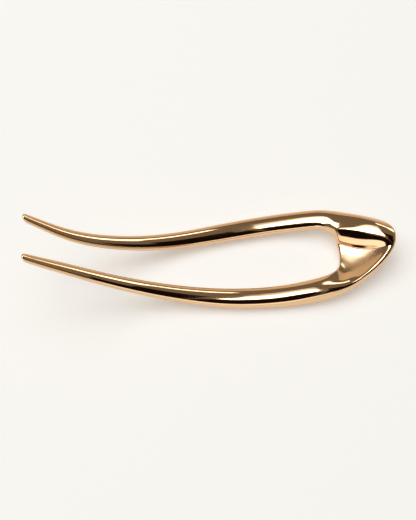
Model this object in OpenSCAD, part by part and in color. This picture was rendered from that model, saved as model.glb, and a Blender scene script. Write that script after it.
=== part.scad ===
// French hair pin, cast in one piece: two bowed prongs that run together in a hollowed crown.
// Millimetres. X runs from the tips to the crown, Y across the pin, Z up.
// The pin lies as it would on a table, on the undersides of both prongs, hollow side up.

/* [Outline] */
// Length of the pin, seen from above, from the tips to the end of the crown
pin_length = 108.5; // [90:0.5:135]
// Greatest width across both prongs
pin_width = 32.5; // [28:0.5:40]
// Width of a prong where it is widest
prong_width = 6.7; // [4.5:0.1:8]
// Depth of the crown on the centre line, from the edge of the loop to the end of the pin
crown_depth = 17.0; // [13:0.1:22]

/* [Bow] */
// Height of the tips above the lowest point of the bow
tip_rise = 25; // [12:0.5:36]
// Height of the crown's end above the lowest point of the bow
crown_rise = 9.0; // [4:0.5:16]
// Place of the lowest point of the bow, as a share of the length from the tips
low_at = 0.605; // [0.5:0.005:0.62]
// How late the bow rises towards the tips, where 2 is a plain parabola
tip_sweep = 2.5; // [2:0.05:3]
// How late the bow rises towards the crown
crown_sweep = 2.1; // [1.8:0.05:2.6]

/* [Thickness] */
// Thickness of a prong where it is thickest
prong_thickness = 4.9; // [3:0.1:5.5]
// Width and thickness of a prong at its tip
tip_size = 2.6; // [1.6:0.1:3]
// Thickness of the hollowed web between the two lobes of the crown
web_thickness = 2.4; // [1.6:0.1:3.4]
// Height of the lobes of the crown above the middle of the web
lobe_height = 3.6; // [2:0.1:5]
// How far the outer edge of the crown lies below the bow
edge_drop = 1.9; // [0.5:0.1:2.5]

/* [Hidden] */

// One row for each section, from the tip to the end of the crown. A section spans the metal from
// its outer edge to its inner edge. AT and OUT place the outer edge, as shares of the pin's length
// and half width. TURN is the direction of the section in degrees, 0 straight across the pin and
// 90 along it. PRONG and CROWN make its width, as shares of what the prong's width adds to the
// tip's and of what the crown's depth adds to the prong's.
AT = 0;
OUT = 1;
TURN = 2;
PRONG = 3;
CROWN = 4;
PLAN = [
    [0.000, 0.510,  0.0, 0.00, 0.000],
    [0.055, 0.503,  0.0, 0.17, 0.000],
    [0.133, 0.506,  0.0, 0.33, 0.000],
    [0.260, 0.605,  0.0, 0.51, 0.000],
    [0.398, 0.762,  0.0, 0.71, 0.000],
    [0.533, 0.922,  0.0, 0.91, 0.000],
    [0.652, 0.993,  0.0, 0.98, 0.000],
    [0.734, 0.995,  0.0, 1.04, 0.000],
    [0.804, 0.950,  3.0, 1.10, 0.000],
    [0.860, 0.838, 18.0, 1.10, 0.155],
    [0.918, 0.638, 47.0, 1.00, 0.450],
    [0.972, 0.332, 72.0, 1.00, 0.775],
    [1.000, 0.000, 90.0, 1.00, 1.000]
];

// The same rows again, for heights. BODY is the share of what the prong's thickness adds to the
// tip's, and WEB is how far the thickness has changed from the prong's to the web's. LOBE is the
// height of the lobe, as a share of lobe_height, and PEAK its place from the inner edge to the
// outer one. LIFT and DROP raise the inner edge and lower the outer edge, as shares of edge_drop.
BODY = 0;
WEB = 1;
LOBE = 2;
PEAK = 3;
LIFT = 4;
DROP = 5;
PROFILE = [
    [0.00, 0.00, 0.00, 0.50,  0.00, 0.00],
    [0.15, 0.00, 0.00, 0.50,  0.00, 0.00],
    [0.26, 0.00, 0.00, 0.50,  0.00, 0.05],
    [0.43, 0.00, 0.00, 0.50,  0.20, 0.18],
    [0.57, 0.00, 0.00, 0.50,  0.30, 0.30],
    [0.74, 0.00, 0.02, 0.48,  0.30, 0.32],
    [0.93, 0.00, 0.08, 0.45,  0.30, 0.36],
    [1.00, 0.08, 0.20, 0.42,  0.28, 0.60],
    [1.00, 0.40, 0.45, 0.42,  0.25, 0.90],
    [1.00, 0.80, 0.75, 0.50,  0.15, 1.05],
    [1.00, 1.00, 0.95, 0.63, -0.20, 1.10],
    [1.00, 1.00, 1.02, 0.76, -0.46, 1.02],
    [1.00, 1.00, 1.02, 0.81, -0.52, 1.00]
];

// How full the top and the underside of a section are, where 2 is an ellipse
TOP_FULLNESS = 2.3;
UNDER_FULLNESS = 2.1;
// Points round a section, an even number, and rings between two rows of the tables
POINTS = 28;
STEPS = 6;
// Rings that close each tip
CAP_RINGS = 4;

half_width = pin_width / 2;
crown_extra = crown_depth - prong_width;
low_x = low_at * pin_length;
last_row = len(PLAN) - 1;

// Smooth curve through four neighbouring values
function through(a, b, c, d, t) =
    0.5 * (2 * b + (c - a) * t + (2 * a - 5 * b + 4 * c - d) * t * t
        + (3 * b - a - 3 * c + d) * t * t * t);

// Value of a column between rows. Past the end of the crown the rows come back mirrored, so an odd
// column, such as the distance from the centre line, changes its sign there.
function row_value(table, column, i, odd) =
    i < 0 ? 2 * table[0][column] - table[1][column]
    : i > last_row ? (odd ? 2 * table[last_row][column] - table[2 * last_row - i][column]
        : table[2 * last_row - i][column])
    : table[i][column];

function between(table, column, at, odd = false) =
    let (i = min(floor(at), last_row - 1), t = at - i)
    through(row_value(table, column, i - 1, odd), row_value(table, column, i, odd),
        row_value(table, column, i + 1, odd), row_value(table, column, i + 2, odd), t);

// Height of the bow over the place x along the pin
function bow(x) =
    x < low_x ? tip_rise * pow((low_x - x) / low_x, tip_sweep)
    : crown_rise * pow((x - low_x) / (pin_length - low_x), crown_sweep);

// Height of a rounded outline over its width, for a place from -1 to 1
function rounded(place, fullness) =
    pow(max(0, 1 - pow(abs(place), fullness)), 1 / fullness);

// Width, thickness and lobe of the section at a place along the rows
function section_width(at) =
    tip_size + (prong_width - tip_size) * between(PLAN, PRONG, at)
    + crown_extra * between(PLAN, CROWN, at);
function half_thickness(at) =
    let (
        body = tip_size + (prong_thickness - tip_size) * between(PROFILE, BODY, at),
        web_share = between(PROFILE, WEB, at)
    )
    (body * (1 - web_share) + web_thickness * web_share) / 2;
function lobe(at) = lobe_height * max(0, between(PROFILE, LOBE, at));

// One point of a section: share runs from the inner edge, 0, to the outer edge, 1
function section_point(at, share, on_top) =
    let (
        turn = between(PLAN, TURN, at, true),
        across = section_width(at) * (1 - share),
        x = pin_length * between(PLAN, AT, at) - across * sin(turn),
        y = half_width * between(PLAN, OUT, at, true) - across * cos(turn),
        lift = edge_drop * between(PROFILE, LIFT, at),
        drop = edge_drop * between(PROFILE, DROP, at),
        middle = bow(x) + lift * (1 - share) - drop * share,
        peak = between(PROFILE, PEAK, at),
        lobe_share = pow(share, ln(0.5) / ln(peak)),
        top = half_thickness(at) * rounded(2 * share - 1, TOP_FULLNESS)
            + lobe(at) * rounded(2 * lobe_share - 1, TOP_FULLNESS),
        under = half_thickness(at) * rounded(2 * share - 1, UNDER_FULLNESS)
    )
    [x, y, middle + (on_top ? top : -under)];

// A ring of points round the metal
function ring(at) = [
    for (k = [0 : POINTS - 1])
        let (angle = 360 * k / POINTS)
        section_point(at, (1 - cos(angle)) / 2, angle < 180)
];

function centre(points) =
    [for (axis = [0 : 2]) [for (p = points) p[axis]] * [for (p = points) 1] / len(points)];

// The rounded tip: the first ring, drawn in and carried on along the prong
first_ring = ring(0);
tip_centre = centre(first_ring);
tip_step = tip_centre - centre(ring(0.2));
tip_direction = tip_step / norm(tip_step);
function cap_ring(angle) = [
    for (p = first_ring)
        tip_centre + (p - tip_centre) * cos(angle) + tip_direction * sin(angle) * tip_size / 2
];
tip_cap = [for (i = [CAP_RINGS : -1 : 1]) cap_ring(80 * i / CAP_RINGS)];

// Rings of the half with Y above 0, then those of the other half on the way back
half_rings = concat(tip_cap, [for (i = [0 : last_row * STEPS]) ring(i / STEPS)]);
half_count = len(half_rings);
rings = concat(half_rings, [
    for (i = [half_count - 2 : -1 : 0]) [for (p = half_rings[i]) [p[0], -p[1], p[2]]]
]);
ring_count = len(rings);
surface = [for (r = rings) each r];

// Ends of the mesh, a fan over the first and the last ring
near_end = ring_count * POINTS;
far_end = near_end + 1;
end_points = [
    tip_centre + tip_direction * tip_size / 2,
    [for (axis = [0 : 2]) (axis == 1 ? -1 : 1) * (tip_centre + tip_direction * tip_size / 2)[axis]]
];
side_faces = [
    for (i = [0 : ring_count - 2], k = [0 : POINTS - 1])
        let (a = i * POINTS + k, b = i * POINTS + (k + 1) % POINTS)
        each [[a, b, a + POINTS], [b, b + POINTS, a + POINTS]]
];
end_faces = [
    for (k = [0 : POINTS - 1])
        let (next = (k + 1) % POINTS, back = (ring_count - 1) * POINTS)
        each [[near_end, next, k], [far_end, back + k, back + next]]
];

// The pin stands on the ground with its middle over the origin
all_x = [for (p = surface) p[0]];
all_z = [for (p = surface) p[2]];
middle_x = (min(all_x) + max(all_x)) / 2;
ground_z = min(all_z);

module pin() {
    color([0.85, 0.64, 0.45])
        translate([-middle_x, 0, -ground_z])
            polyhedron(points = concat(surface, end_points), faces = concat(side_faces, end_faces));
}

pin();
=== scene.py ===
"""French hair pin: a polished, gold-plated cast pin with two bowed prongs and a hollowed crown.

Laid out as a Blender add-on and run as a script. Lengths are metres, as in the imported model, whose
X runs from the tips to the crown, Y across the prongs and Z up from the table.
"""
from math import cos, radians, sin, tan

import bmesh
import bpy
import numpy as np
from bpy.props import FloatProperty, FloatVectorProperty, PointerProperty
from mathutils import Matrix, Vector


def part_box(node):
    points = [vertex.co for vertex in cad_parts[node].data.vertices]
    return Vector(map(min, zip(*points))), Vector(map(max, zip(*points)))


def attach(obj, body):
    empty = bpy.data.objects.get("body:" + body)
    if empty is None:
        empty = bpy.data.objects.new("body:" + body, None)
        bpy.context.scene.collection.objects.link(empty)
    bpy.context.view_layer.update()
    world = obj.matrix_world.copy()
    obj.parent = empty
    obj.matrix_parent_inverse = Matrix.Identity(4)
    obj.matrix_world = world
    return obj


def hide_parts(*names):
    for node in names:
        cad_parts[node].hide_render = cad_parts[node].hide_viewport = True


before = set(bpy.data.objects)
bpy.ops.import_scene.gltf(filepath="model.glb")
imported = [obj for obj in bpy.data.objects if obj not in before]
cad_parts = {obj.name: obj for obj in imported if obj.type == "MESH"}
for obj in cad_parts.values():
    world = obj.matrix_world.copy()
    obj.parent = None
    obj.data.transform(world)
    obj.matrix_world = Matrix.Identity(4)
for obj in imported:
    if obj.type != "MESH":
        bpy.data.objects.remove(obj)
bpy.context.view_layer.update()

bl_info = {
    "name": "French hair pin",
    "version": (1, 0, 0),
    "blender": (4, 5, 0),
    "location": "View3D > Sidebar > Hair pin",
    "description": "Makes a cast French hair pin and the studio table that it lies on",
    "category": "Object",
}

LOW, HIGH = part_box("pin")
MM = 0.001
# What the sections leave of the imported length, for the rounded tips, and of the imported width
TIP_ROOM, SIDE_ROOM = 1.18 * MM, 0.02 * MM

# The outline seen from above, from a tip to the end of the crown, and mirrored on the way back. AT
# and OUT place the outer edge, as shares of the length and half width. TURN is the way across to
# the inner edge in degrees, 0 straight across the pin and 90 along it. PRONG and CROWN make the
# distance: what the prong's width adds to the tip's, and what the crown's depth adds to the
# prong's. BODY makes the prong's thickness in the same way. DROP and LIFT lower its outer edge and
# raise its inner one, as shares of edge_drop.
OUTLINE = [
    # AT     OUT    TURN  PRONG  CROWN  BODY  DROP  LIFT
    [0.000, 0.510, 0.0, 0.00, 0.000, 0.00, 0.00, 0.00],
    [0.055, 0.503, 0.0, 0.17, 0.000, 0.15, 0.00, 0.00],
    [0.133, 0.506, 0.0, 0.33, 0.000, 0.26, 0.00, 0.00],
    [0.260, 0.605, 0.0, 0.51, 0.000, 0.43, 0.00, 0.00],
    [0.398, 0.762, 0.0, 0.71, 0.000, 0.57, 0.05, 0.00],
    [0.533, 0.922, 0.0, 0.91, 0.000, 0.74, 0.10, 0.00],
    [0.652, 0.993, 0.0, 0.98, 0.000, 0.93, 0.20, 0.05],
    [0.734, 0.995, 0.0, 1.04, 0.000, 1.00, 0.45, 0.15],
    [0.804, 0.950, 3.0, 1.10, 0.000, 1.00, 0.80, 0.35],
    [0.860, 0.838, 18.0, 1.10, 0.155, 1.00, 1.00, 0.50],
    [0.918, 0.638, 47.0, 1.00, 0.450, 1.00, 1.00, 0.50],
    [0.971, 0.372, 70.0, 1.00, 0.775, 1.00, 1.00, 0.50],
    [1.000, 0.000, 90.0, 1.00, 1.000, 1.00, 1.00, 0.50],
]
AT, OUT, TURN, PRONG, CROWN, BODY, DROP, LIFT = range(8)

# The crown's sections, from the far prong over the raised lobe, down its wall and across the dish
# to the near prong. OUTER and INNER are the places of a section's ends on the outline's rows. REACH
# carries the outer end on past the outline and BEND is the bow between the ends, as shares of the
# width. OPEN is how far the section has changed from a prong's. The heights over the pin's bow are
# shares of crown_relief: EDGE and LIP at the ends, TOP_1 to TOP_5 from the rim to the lip, and
# UNDER at the middle of the underside.
CROWN_ROWS = [
    # OUTER INNER REACH  BEND   OPEN  EDGE   TOP_1  TOP_2  TOP_3  TOP_4  TOP_5  LIP    UNDER
    [8.00, 8.00, 0.000, 0.000, 0.00, -0.65, 0.00, 0.80, 1.00, 0.90, 0.60, 0.10, -1.00],
    [9.20, 8.35, 0.010, 0.000, 0.60, -0.82, -0.10, 0.76, 1.06, 1.06, 0.84, 0.10, -1.10],
    [10.30, 8.55, 0.030, 0.000, 1.00, -0.85, -0.14, 0.78, 1.07, 1.08, 0.88, 0.10, -1.20],
    [11.30, 8.68, 0.045, 0.010, 1.00, -0.78, -0.10, 0.73, 1.04, 1.11, 0.92, 0.05, -1.30],
    [12.12, 8.78, 0.000, 0.025, 1.00, -0.80, -0.12, 0.63, 0.96, 1.12, 0.92, 0.00, -1.40],
    [12.30, 8.90, 0.000, 0.020, 1.00, -0.84, -0.18, 0.55, 0.88, 1.03, 0.87, 0.00, -1.45],
    [12.42, 9.30, 0.000, -0.015, 1.00, -0.90, -0.28, 0.28, 0.46, 0.50, 0.44, -0.20, -1.55],
    [12.51, 9.70, 0.000, -0.048, 1.00, -0.96, -0.38, -0.34, -0.28, -0.20, -0.12, -0.60, -1.62],
    [12.57, 9.96, 0.000, -0.062, 1.00, -1.00, -0.44, -0.70, -0.84, -0.68, -0.52, -0.85, -1.66],
    [12.75, 10.60, 0.000, -0.055, 1.00, -1.06, -0.46, -0.70, -0.92, -0.75, -0.57, -0.92, -1.72],
    [13.20, 12.00, 0.000, -0.025, 1.00, -1.10, -0.43, -0.70, -0.96, -0.84, -0.66, -0.98, -1.80],
    [13.80, 13.40, 0.000, 0.000, 1.00, -1.05, -0.40, -0.62, -0.90, -0.86, -0.70, -0.98, -1.76],
    [14.40, 14.40, 0.000, 0.000, 1.00, -0.95, -0.28, -0.46, -0.68, -0.74, -0.66, -0.92, -1.62],
    [15.00, 15.00, 0.000, 0.000, 1.00, -0.85, -0.17, -0.12, -0.32, -0.44, -0.44, -0.76, -1.45],
    [15.60, 15.60, 0.000, 0.000, 0.95, -0.75, 0.18, 0.32, 0.22, 0.12, 0.04, -0.42, -1.30],
    [16.20, 16.20, 0.000, 0.000, 0.80, -0.65, 0.48, 0.64, 0.62, 0.53, 0.38, -0.12, -1.18],
    [17.00, 17.00, 0.000, 0.000, 0.40, -0.55, 0.50, 0.84, 0.93, 0.83, 0.60, 0.05, -1.08],
    [18.00, 18.00, 0.000, 0.000, 0.00, -0.45, 0.10, 0.80, 1.00, 0.90, 0.60, 0.10, -1.00],
]
OUTER, INNER, REACH, BEND, OPEN, EDGE = range(6)
TOPS = slice(6, 11)
LIP, UNDER = 11, 12
# Places of TOP_1 to TOP_5, as shares of the way across
TOP_PLACES = [0.07, 0.25, 0.50, 0.75, 0.95]

# How full the rounded parts of a section are, where 1 is a straight slope and 2 an ellipse
PRONG_TOP, PRONG_UNDER = 2.3, 2.0
CROWN_RIM, CROWN_LIP, CROWN_UNDER = 1.4, 2, 3.5

# Points round a section: the angle of each on a prong, and its share of the way across the crown
POINTS = [
    [0, 0.0], [14, 0.012], [28, 0.040], [42, 0.075], [58, 0.15], [74, 0.26], [90, 0.39],
    [106, 0.52], [122, 0.65], [138, 0.77], [152, 0.865], [164, 0.93], [173, 0.975], [180, 1.0],
    [190, 0.985], [204, 0.93], [222, 0.82], [240, 0.66], [258, 0.50], [276, 0.34], [294, 0.20],
    [312, 0.10], [330, 0.04], [346, 0.01],
]

# The far prong is a little shorter, by a part of the outline's first row
FAR_START = 0.10
# Rings between two rows of the outline and of the crown
PRONG_STEPS, CROWN_STEPS = 5, 3
# Rings that close a tip, and the angle of the last, where 90 degrees is the very end
CAP_RINGS, CAP_ANGLE = 4, 82
# The dish starts at a share of the length, where the metal faces upwards by at least DISH_FACING
# and lies below the bow by DISH_DEPTH, a share of crown_relief. Its finish changes over DISH_FADE.
DISH_START, DISH_FACING, DISH_DEPTH, DISH_FADE = 0.80, 0.5, 0.55, 0.30
# Places along the pin where the bow's height is set, as shares of the length
BOW_PLACES = [0.0, 0.12, 0.24, 0.36, 0.48, 0.60, 0.72, 0.84, 0.92, 1.0]
# How late the bow rises towards the tips and towards the crown, where 2 is a parabola
TIP_SWEEP, CROWN_SWEEP = 2.5, 2.1
# How much rougher the dish is than the rest, which is between the two of GLOSS
DISH_SATIN = 0.25
GLOSS = (0.05, 0.10)
# What the plating's colour is multiplied by where it looks deepest
DEEPER = (0.97, 0.94, 0.90)
# Height of the ripples in the polished surface
RIPPLE = 0.06 * MM

# The softbox's strength, and what is left of its light at its far right corner. It fades between
# two places on the slant y + FADE_SLANT * x, in metres from the middle of the table.
SOFTBOX_GLOW, FADE_FLOOR = 6.5, 0.16
FADE_SLANT, FADE_START, FADE_END = 0.708, 0.08, 0.44
# The place that the camera looks at
CAMERA_TARGET = (-1.97 * MM, 0.0, 6.46 * MM)
# Colours of the cards that stand round the pin, and the directions of their sides
WHITE, WARM = (1.0, 0.99, 0.97), (1.0, 0.96, 0.90)
TAN, BLACK = (0.84, 0.70, 0.54), (0.012, 0.006, 0.003)
SIDEWAYS, FORWARDS, UPRIGHT = (1, 0, 0), (0, 1, 0), (0, 0, 1)


class HairPinSizes(bpy.types.PropertyGroup):
    """Sizes and colours of the pin."""
    length: FloatProperty(
        name="Length", description="From the tips' first section to the end of the crown",
        default=HIGH[0] - LOW[0] - TIP_ROOM, unit="LENGTH")
    width: FloatProperty(
        name="Width", description="Greatest width across both prongs",
        default=HIGH[1] - LOW[1] - SIDE_ROOM, unit="LENGTH")
    prong_width: FloatProperty(
        name="Prong width", description="Width of a prong where it is widest",
        default=6.7 * MM, unit="LENGTH")
    crown_depth: FloatProperty(
        name="Crown depth", description="From the edge of the loop to the end of the pin",
        default=17.0 * MM, unit="LENGTH")
    tip_rise: FloatProperty(
        name="Tip rise", description="Height of the tips over the lowest point of the bow",
        default=25.0 * MM, unit="LENGTH")
    crown_rise: FloatProperty(
        name="Crown rise", description="Height of the crown's end over the lowest point of the bow",
        default=9.0 * MM, unit="LENGTH")
    low_at: FloatProperty(
        name="Lowest place", description="Share of the length at which the bow is lowest",
        default=0.605, subtype="FACTOR")
    prong_thickness: FloatProperty(
        name="Prong thickness", description="Thickness of a prong where it is thickest",
        default=4.9 * MM, unit="LENGTH")
    tip_size: FloatProperty(
        name="Tip size", description="Width and thickness of a prong at its tip",
        default=2.6 * MM, unit="LENGTH")
    crown_relief: FloatProperty(
        name="Crown relief", description="Height of the raised lobe's crest over the bow",
        default=2.3 * MM, unit="LENGTH")
    edge_drop: FloatProperty(
        name="Edge drop", description="How far the outer edge of the crown lies below the bow",
        default=1.9 * MM, unit="LENGTH")
    gold: FloatVectorProperty(
        name="Gold", description="Colour of the polished plating", subtype="COLOR",
        size=3, default=(0.80, 0.56, 0.35))


class StudioSizes(bpy.types.PropertyGroup):
    """Sizes and strengths of the table, the lights and the camera."""
    table: FloatProperty(
        name="Table", description="Side of the table", default=3.0, unit="LENGTH")
    table_colour: FloatVectorProperty(
        name="Table colour", description="Colour of the table", subtype="COLOR",
        size=3, default=(0.90, 0.915, 0.915))
    table_glow: FloatProperty(
        name="Table glow", description="Light that comes up through the table", default=0.30)
    lens: FloatProperty(
        name="Lens", description="Focal length of the camera in millimetres", default=87.7,
        unit="CAMERA")
    distance: FloatProperty(
        name="Camera distance", description="From the camera to the place it looks at",
        default=0.378, unit="LENGTH")
    elevation: FloatProperty(
        name="Camera elevation", description="Angle of the view above the table",
        default=radians(56.64), subtype="ANGLE")
    swing: FloatProperty(
        name="Camera swing", description="Angle of the view round the pin, towards the tips",
        default=radians(4.46), subtype="ANGLE")
    roll: FloatProperty(
        name="Camera roll", description="Turn of the camera about its view",
        default=radians(-2.06), subtype="ANGLE")


def smooth_through(places, heights):
    """A curve with no sudden change of bend through the heights at the places."""
    places, heights = np.array(places, float), np.array(heights, float)
    steps = np.diff(places)
    count = len(places)
    matrix, right = np.eye(count), np.zeros(count)
    for i in range(1, count - 1):
        matrix[i, i - 1:i + 2] = steps[i - 1], 2 * (steps[i - 1] + steps[i]), steps[i]
        right[i] = 6 * ((heights[i + 1] - heights[i]) / steps[i]
                        - (heights[i] - heights[i - 1]) / steps[i - 1])
    bends = np.linalg.solve(matrix, right)

    def height(place):
        i = int(np.clip(np.searchsorted(places, place) - 1, 0, count - 2))
        step = steps[i]
        a, b = (places[i + 1] - place) / step, (place - places[i]) / step
        bend = ((a ** 3 - a) * bends[i] + (b ** 3 - b) * bends[i + 1]) * step * step / 6
        return float(a * heights[i] + b * heights[i + 1] + bend)
    return height


def steady_through(places, heights):
    """A smooth curve through the heights that never rises or falls beyond them."""
    steps = np.diff(places)
    rates = np.diff(heights) / steps
    slopes = np.zeros(len(places))
    for i in range(1, len(places) - 1):
        if rates[i - 1] * rates[i] > 0:
            slopes[i] = 2 * rates[i - 1] * rates[i] / (rates[i - 1] + rates[i])

    def height(place):
        i = int(np.clip(np.searchsorted(places, place) - 1, 0, len(steps) - 1))
        step = steps[i]
        t = (place - places[i]) / step
        leaving = (1 + 2 * t) * heights[i] + t * step * slopes[i]
        coming = (3 - 2 * t) * heights[i + 1] - (1 - t) * step * slopes[i + 1]
        return float((1 - t) ** 2 * leaving + t * t * coming)
    return height


def outline_curve(index, turned=False):
    """A column of OUTLINE as a smooth curve. Its rows come back mirrored past the crown's end."""
    values = [row[index] for row in OUTLINE]
    back = values[-2::-1]
    if turned:
        back = [2 * values[-1] - value for value in back]
    return smooth_through(range(2 * len(values) - 1), values + back)


def rounded(angle, fullness):
    """A place on a rounded outline, where a fullness of 2 is an ellipse."""
    across, up = cos(angle), sin(angle)
    return (float(np.sign(across) * abs(across) ** (2 / fullness)),
            float(np.sign(up) * abs(up) ** (2 / fullness)))


class Sections:
    """The sections of the metal, worked out from the sizes and the tables."""

    def __init__(self, sizes):
        self.sizes = sizes
        self.outline = [outline_curve(i, i in (OUT, TURN)) for i in range(len(OUTLINE[0]))]
        self.crown = [steady_through(range(len(CROWN_ROWS)), list(values))
                      for values in zip(*CROWN_ROWS)]
        low_x = sizes.low_at * sizes.length
        heights = []
        for share in BOW_PLACES:
            x = share * sizes.length
            if x < low_x:
                heights.append(sizes.tip_rise * ((low_x - x) / low_x) ** TIP_SWEEP)
            else:
                rise = ((x - low_x) / (sizes.length - low_x)) ** CROWN_SWEEP
                heights.append(sizes.crown_rise * rise)
        self.bow = smooth_through([share * sizes.length for share in BOW_PLACES], heights)

    def edges(self, at):
        """The outer and the inner end of the outline's section, seen from above."""
        sizes = self.sizes
        value = [curve(at) for curve in self.outline]
        width = (sizes.tip_size + (sizes.prong_width - sizes.tip_size) * value[PRONG]
                 + (sizes.crown_depth - sizes.prong_width) * value[CROWN])
        outer = Vector((sizes.length * value[AT], sizes.width / 2 * value[OUT]))
        turn = radians(value[TURN])
        return outer, outer - width * Vector((sin(turn), cos(turn)))

    def prong_point(self, at, angle):
        """Share of the way across a prong's section, and height over the bow, of one point."""
        sizes = self.sizes
        body, drop, lift = (self.outline[i](at) for i in (BODY, DROP, LIFT))
        half = (sizes.tip_size + (sizes.prong_thickness - sizes.tip_size) * body) / 2
        across, up = rounded(radians(angle), PRONG_TOP if angle < 180 else PRONG_UNDER)
        share = (1 - across) / 2
        side = sizes.edge_drop * (lift * share - drop * (1 - share))
        return share, side + (half - side) * up if angle < 180 else side + half * up

    def crown_height(self, row, share, on_top):
        """Height of the crown's section over the bow."""
        relief = self.sizes.crown_relief
        first, last = TOP_PLACES[0], TOP_PLACES[-1]
        if not on_top:
            level = row[EDGE] + (row[LIP] - row[EDGE]) * share
            depth = (1 - abs(2 * share - 1) ** CROWN_UNDER) ** (1 / CROWN_UNDER)
            return relief * (level + (row[UNDER] - level) * depth)
        if share < first:
            up = (1 - (1 - share / first) ** CROWN_RIM) ** (1 / CROWN_RIM)
            return relief * (row[EDGE] + (row[TOPS][0] - row[EDGE]) * up)
        if share > last:
            up = (1 - ((share - last) / (1 - last)) ** CROWN_LIP) ** (1 / CROWN_LIP)
            return relief * (row[LIP] + (row[TOPS][-1] - row[LIP]) * up)
        return relief * smooth_through(TOP_PLACES, row[TOPS])(share)

    def section(self, outer_at, inner_at, row=None):
        """The points round a section of a prong or, where a row is given, of the crown."""
        outer, inner = self.edges(outer_at)[0], self.edges(inner_at)[1]
        if row is not None:
            outer = outer + (outer - inner) * row[REACH]
        across = inner - outer
        sideways = Vector((across.y, -across.x))
        places = []
        for angle, crown_share in POINTS:
            share, height = self.prong_point(outer_at, angle)
            bend = 0.0
            if row is not None:
                crown_height = self.crown_height(row, crown_share, angle <= 180)
                share += (crown_share - share) * row[OPEN]
                height += (crown_height - height) * row[OPEN]
                bend = row[BEND] * 4 * share * (1 - share)
            place = outer + across * share + sideways * bend
            places.append(Vector((place.x, place.y, self.bow(place.x) + height)))
        return places

    def sweep(self):
        """The sections from the far tip round the crown to the near tip."""
        first, last, end = CROWN_ROWS[0][OUTER], CROWN_ROWS[-1][OUTER], 2 * (len(OUTLINE) - 1)
        for at in np.linspace(FAR_START, first, int(first) * PRONG_STEPS, endpoint=False):
            yield self.section(float(at), float(at))
        for i in range((len(CROWN_ROWS) - 1) * CROWN_STEPS + 1):
            row = [curve(i / CROWN_STEPS) for curve in self.crown]
            yield self.section(row[OUTER], row[INNER], row)
        for at in np.linspace(end, last, int(end - last) * PRONG_STEPS, endpoint=False)[::-1]:
            yield self.section(float(at), float(at))


def place_ring(ring, places):
    """Move a ring's vertices to their places."""
    for vert, place in zip(ring, places):
        vert.co = place


def extrude_ring(bm, ring):
    """A new ring of vertices, joined to the last one by faces."""
    edges = [bm.edges.get((ring[i - 1], ring[i])) for i in range(len(ring))]
    made = bmesh.ops.extrude_edge_only(bm, edges=edges)["geom"]
    new = {item for item in made if isinstance(item, bmesh.types.BMVert)}
    return [next(edge.other_vert(vert) for edge in vert.link_edges
                 if edge.other_vert(vert) in new) for vert in ring]


def finish_object(name, mesh, material):
    """An object in the scene with the mesh and one material."""
    piece = bpy.data.objects.new(name, mesh)
    bpy.context.scene.collection.objects.link(piece)
    mesh.materials.append(material)
    return piece


def new_material(name):
    """A material with its nodes, its links and its shader."""
    material = bpy.data.materials.new(name)
    material.use_nodes = True
    nodes = material.node_tree.nodes
    return material, nodes, material.node_tree.links, nodes["Principled BSDF"]


def arithmetic(nodes, links, operation, *values):
    """The result of a sum, in which each value is a number or comes from another node."""
    node = nodes.new("ShaderNodeMath")
    node.operation = operation
    for socket, value in zip(node.inputs, values):
        if isinstance(value, bpy.types.NodeSocket):
            links.new(value, socket)
        else:
            socket.default_value = value
    return node.outputs["Value"]


def polished_gold(colour):
    """Polished plating: nearly even, with the faint unevenness of a hand-polished casting."""
    material, nodes, links, shader = new_material("polished_gold")
    shader.inputs["Metallic"].default_value = 1.0
    place = nodes.new("ShaderNodeTexCoord")

    tone = nodes.new("ShaderNodeTexNoise")
    tone.inputs["Scale"].default_value = 60.0
    tone.inputs["Detail"].default_value = 2.0
    links.new(place.outputs["Object"], tone.inputs["Vector"])
    blend = nodes.new("ShaderNodeMix")
    blend.data_type = "RGBA"
    blend.inputs["A"].default_value = (*colour, 1.0)
    deep = [part * factor for part, factor in zip(colour, DEEPER)]
    blend.inputs["B"].default_value = (*deep, 1.0)
    links.new(tone.outputs["Fac"], blend.inputs["Factor"])
    links.new(blend.outputs["Result"], shader.inputs["Base Color"])

    wear = nodes.new("ShaderNodeTexNoise")
    wear.inputs["Scale"].default_value = 180.0
    wear.inputs["Detail"].default_value = 3.0
    links.new(place.outputs["Object"], wear.inputs["Vector"])
    gloss = nodes.new("ShaderNodeMapRange")
    gloss.inputs["To Min"].default_value, gloss.inputs["To Max"].default_value = GLOSS
    links.new(wear.outputs["Fac"], gloss.inputs["Value"])
    dish = nodes.new("ShaderNodeAttribute")
    dish.attribute_name = "dish"
    rough = arithmetic(nodes, links, "MULTIPLY_ADD", dish.outputs["Fac"], DISH_SATIN,
                       gloss.outputs["Result"])
    links.new(rough, shader.inputs["Roughness"])

    ripple = nodes.new("ShaderNodeTexNoise")
    ripple.inputs["Scale"].default_value = 110.0
    ripple.inputs["Detail"].default_value = 1.0
    links.new(place.outputs["Object"], ripple.inputs["Vector"])
    wave = nodes.new("ShaderNodeBump")
    wave.inputs["Distance"].default_value = RIPPLE
    links.new(ripple.outputs["Fac"], wave.inputs["Height"])
    links.new(wave.outputs["Normal"], shader.inputs["Normal"])
    return material


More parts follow.
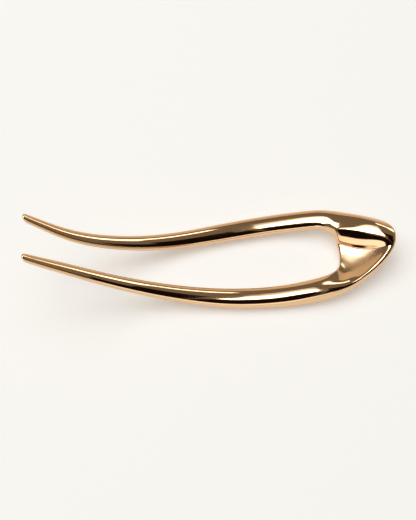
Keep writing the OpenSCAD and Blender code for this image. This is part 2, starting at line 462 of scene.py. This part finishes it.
class HAIRPIN_OT_pin(bpy.types.Operator):
    """Make the pin: sections extruded from the far tip round the crown to the near tip"""
    bl_idname = "hairpin.pin"
    bl_label = "Pin"

    def execute(self, context):
        sizes = context.scene.hairpin_sizes
        sections = Sections(sizes)
        rings = list(sections.sweep())
        rings = self.cap(rings[:2], sizes)[::-1] + rings + self.cap(rings[:-3:-1], sizes)
        bm = bmesh.new()
        ring = bmesh.ops.create_circle(bm, segments=len(POINTS), radius=1.0)["verts"]
        ends = [ring]
        place_ring(ring, rings[0])
        for places in rings[1:]:
            ring = extrude_ring(bm, ring)
            place_ring(ring, places)
        ends.append(ring)
        for end in ends:
            cap = bmesh.ops.contextual_create(bm, geom=end)["faces"]
            bmesh.ops.poke(bm, faces=cap)
        bmesh.ops.recalc_face_normals(bm, faces=bm.faces[:])
        self.mark_dish(bm, sections, sizes)
        self.settle(bm)
        mesh = bpy.data.meshes.new("pin_body")
        bm.to_mesh(mesh)
        bm.free()
        mesh.shade_smooth()
        piece = finish_object("pin_body", mesh, polished_gold(sizes.gold))
        smooth = piece.modifiers.new("smooth", "SUBSURF")
        smooth.levels = smooth.render_levels = 2
        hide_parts("pin")
        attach(piece, "root")
        return {"FINISHED"}

    @staticmethod
    def cap(last_rings, sizes):
        """Rings that close a tip, from the last ring outwards."""
        last, before = last_rings
        centre = sum(last, Vector()) / len(last)
        onward = (centre - sum(before, Vector()) / len(before)).normalized()
        rings = []
        for i in range(1, CAP_RINGS + 1):
            angle = radians(CAP_ANGLE * i / CAP_RINGS)
            forward = onward * sin(angle) * sizes.tip_size / 2
            rings.append([centre + (place - centre) * cos(angle) + forward for place in last])
        return rings

    @staticmethod
    def mark_dish(bm, sections, sizes):
        """Mark on each vertex how deep it lies in the crown's dish, which is polished less."""
        bm.normal_update()
        dish = bm.verts.layers.float.new("dish")
        for vert in bm.verts:
            depth = (sections.bow(vert.co.x) - vert.co.z) / sizes.crown_relief
            if vert.normal.z > DISH_FACING and vert.co.x > DISH_START * sizes.length:
                vert[dish] = min(1.0, max(0.0, (depth - DISH_DEPTH) / DISH_FADE))

    @staticmethod
    def settle(bm):
        """Stand the pin on the table with the crown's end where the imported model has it."""
        low = [min(vert.co[axis] for vert in bm.verts) for axis in range(3)]
        high = [max(vert.co[axis] for vert in bm.verts) for axis in range(3)]
        move = Vector(((LOW[0] + HIGH[0] - low[0] - high[0]) / 2, 0.0, LOW[2] - low[2]))
        bmesh.ops.translate(bm, verts=bm.verts[:], vec=move)


def flat_card(name, size, place, across, along, colour, strength, seen=False):
    """A flat card with its sides across and along, glowing or, where the strength is 0, plain."""
    bm = bmesh.new()
    bmesh.ops.create_grid(bm, x_segments=1, y_segments=1, size=0.5)
    across, along = Vector(across).normalized() * size[0], Vector(along).normalized() * size[1]
    for vert in bm.verts:
        vert.co = Vector(place) + across * vert.co.x + along * vert.co.y
    mesh = bpy.data.meshes.new(name)
    bm.to_mesh(mesh)
    bm.free()
    material, *_, shader = new_material(name)
    shader.inputs["Base Color"].default_value = (*colour, 1.0)
    shader.inputs["Roughness"].default_value = 1.0
    shader.inputs["Specular IOR Level"].default_value = 0.0
    shader.inputs["Emission Color"].default_value = (*colour, 1.0)
    shader.inputs["Emission Strength"].default_value = strength
    card = finish_object(name, mesh, material)
    card.visible_camera = seen
    card.visible_diffuse = seen
    card.visible_shadow = seen
    return card


def fade_corner(softbox):
    """Let the softbox's glow fade out towards its far right corner."""
    tree = softbox.data.materials[0].node_tree
    nodes, links = tree.nodes, tree.links
    place = nodes.new("ShaderNodeTexCoord")
    parts = nodes.new("ShaderNodeSeparateXYZ")
    links.new(place.outputs["Object"], parts.inputs["Vector"])
    slant = arithmetic(nodes, links, "MULTIPLY_ADD", parts.outputs["X"], FADE_SLANT,
                       parts.outputs["Y"])
    share = nodes.new("ShaderNodeMapRange")
    share.inputs["From Min"].default_value = FADE_START
    share.inputs["From Max"].default_value = FADE_END
    share.inputs["To Min"].default_value = 1.0
    share.inputs["To Max"].default_value = 0.0
    links.new(slant, share.inputs["Value"])
    fall = arithmetic(nodes, links, "POWER", share.outputs["Result"], 2.0)
    glow = arithmetic(nodes, links, "MULTIPLY_ADD", fall, SOFTBOX_GLOW, FADE_FLOOR)
    links.new(glow, nodes["Principled BSDF"].inputs["Emission Strength"])


def overhead(sky_x, sky_y, height):
    """A rectangle at a height, from the angles off the vertical between which the pin sees it."""
    left, right, near, far = (height * tan(radians(angle)) for angle in (*sky_x, *sky_y))
    return (right - left, far - near), ((left + right) / 2, (near + far) / 2, height)


# The cards that the pin mirrors: a name, the size, the middle, the directions of the two sides, the
# colour and the strength. First the softbox overhead, the two strip lights behind and the sweep
# that rises behind the table, then the dark camera stand and the dark front of the room, and last
# the wall on the right and the near walls. Of these only the middle and the left near wall glow.
CARDS = [
    ("softbox", *overhead((-35, 3), (-9, 30), 0.9), SIDEWAYS, FORWARDS, WHITE, SOFTBOX_GLOW),
    ("strip_left", (0.60, 0.20), (0.48, 1.07, 1.13), SIDEWAYS, (0, -0.6, 0.8), WHITE, 2.2),
    ("strip_right", (2.1, 0.32), (1.60, 1.05, 0.9), (1, 0.32, 0), (-0.32, 1, 0), WHITE, 2.6),
    ("sweep", (6.0, 1.2), (0.0, 1.9, 0.55), SIDEWAYS, UPRIGHT, TAN, 0.40),
    ("stand", *overhead((8, 32), (-12, 10), 0.7), SIDEWAYS, FORWARDS, BLACK, 0.0),
    ("camera_back", *overhead((6, 50), (-55, -12), 0.7), SIDEWAYS, FORWARDS, BLACK, 0.0),
    ("front", (3.0, 0.60), (0.9, -1.2, 0.75), SIDEWAYS, UPRIGHT, BLACK, 0.0),
    ("front_left", (1.57, 0.89), (-0.735, -0.655, 0.7), SIDEWAYS, FORWARDS, BLACK, 0.0),
    ("right_wall", (2.7, 1.5), (2.9, -0.15, 0.95), FORWARDS, UPRIGHT, TAN, 0.0),
    ("near_wall", (1.15, 0.45), (-0.075, -1.3, 0.22), SIDEWAYS, UPRIGHT, WARM, 0.75),
    ("near_wall_right", (2.5, 0.45), (1.75, -1.3, 0.22), SIDEWAYS, UPRIGHT, TAN, 0.0),
    ("near_wall_left", (2.2, 0.75), (-1.75, -1.3, 0.38), SIDEWAYS, UPRIGHT, WARM, 1.0),
]


class HAIRPIN_OT_stage(bpy.types.Operator):
    """Make the table, the studio lights and the camera"""
    bl_idname = "hairpin.stage"
    bl_label = "Table, lights and camera"

    def execute(self, context):
        sizes = context.scene.hairpin_studio
        self.table(sizes)
        self.lights(context)
        self.camera(context, sizes)
        context.scene.view_settings.view_transform = "Standard"
        return {"FINISHED"}

    def table(self, sizes):
        """The plain table, the only card that the camera sees."""
        flat_card("table", (sizes.table, sizes.table), (0, 0, 0), SIDEWAYS, FORWARDS,
                  sizes.table_colour, sizes.table_glow, seen=True)

    def lights(self, context):
        """The room's faint light, the cards that the pin mirrors and the lamp over the table."""
        world = bpy.data.worlds.new("room")
        context.scene.world = world
        world.use_nodes = True
        back = world.node_tree.nodes["Background"]
        back.inputs["Color"].default_value = (1.0, 0.84, 0.66, 1.0)
        back.inputs["Strength"].default_value = 0.20

        cards = {card[0]: flat_card(*card) for card in CARDS}
        fade_corner(cards["softbox"])

        key = bpy.data.lights.new("key", "AREA")
        key.shape = "RECTANGLE"
        key.size, key.size_y = 1.8, 1.8
        key.energy = 19.0
        key.color = (1.0, 0.985, 0.965)
        lamp = bpy.data.objects.new("key", key)
        lamp.location = (-0.3, 0.2, 1.5)
        lamp.rotation_euler = (Vector((0, 0, 0)) - lamp.location).to_track_quat("-Z", "Y").to_euler()
        lamp.visible_glossy = False
        context.scene.collection.objects.link(lamp)

    def camera(self, context, sizes):
        """The camera, placed by its angles and its distance from the place that it looks at."""
        lens = bpy.data.cameras.new("camera")
        lens.sensor_fit = "AUTO"
        lens.sensor_width = 36.0
        lens.lens = sizes.lens
        lens.clip_start, lens.clip_end = 0.01, 10.0
        camera = bpy.data.objects.new("camera", lens)
        turn, rise = sizes.swing, sizes.elevation
        forward = Vector((sin(turn) * cos(rise), cos(turn) * cos(rise), -sin(rise)))
        right = Vector((cos(turn), -sin(turn), 0.0))
        up = right.cross(forward)
        right, up = (right * cos(sizes.roll) + up * sin(sizes.roll),
                     up * cos(sizes.roll) - right * sin(sizes.roll))
        place = Vector(CAMERA_TARGET) - forward * sizes.distance
        camera.matrix_world = Matrix((
            (right.x, up.x, -forward.x, place.x),
            (right.y, up.y, -forward.y, place.y),
            (right.z, up.z, -forward.z, place.z),
            (0.0, 0.0, 0.0, 1.0)))
        context.scene.collection.objects.link(camera)
        context.scene.camera = camera


class HAIRPIN_PT_panel(bpy.types.Panel):
    """The sizes, the colours and the operators, in the 3D view's sidebar"""
    bl_idname = "HAIRPIN_PT_panel"
    bl_label = "Hair pin"
    bl_space_type = "VIEW_3D"
    bl_region_type = "UI"
    bl_category = "Hair pin"

    def draw(self, context):
        scene = context.scene
        for group in (scene.hairpin_sizes, scene.hairpin_studio):
            for name in group.bl_rna.properties.keys():
                if name not in ("rna_type", "name"):
                    self.layout.prop(group, name)
        for operator in OPERATORS:
            self.layout.operator(operator.bl_idname)


OPERATORS = (HAIRPIN_OT_pin, HAIRPIN_OT_stage)
CLASSES = (HairPinSizes, StudioSizes, *OPERATORS, HAIRPIN_PT_panel)


def register():
    for cls in CLASSES:
        bpy.utils.register_class(cls)
    bpy.types.Scene.hairpin_sizes = PointerProperty(type=HairPinSizes)
    bpy.types.Scene.hairpin_studio = PointerProperty(type=StudioSizes)


def unregister():
    del bpy.types.Scene.hairpin_studio
    del bpy.types.Scene.hairpin_sizes
    for cls in reversed(CLASSES):
        bpy.utils.unregister_class(cls)


def main():
    """Make the scene."""
    register()
    bpy.ops.hairpin.pin()
    bpy.ops.hairpin.stage()
    bpy.context.view_layer.update()


if __name__ == "__main__":
    main()
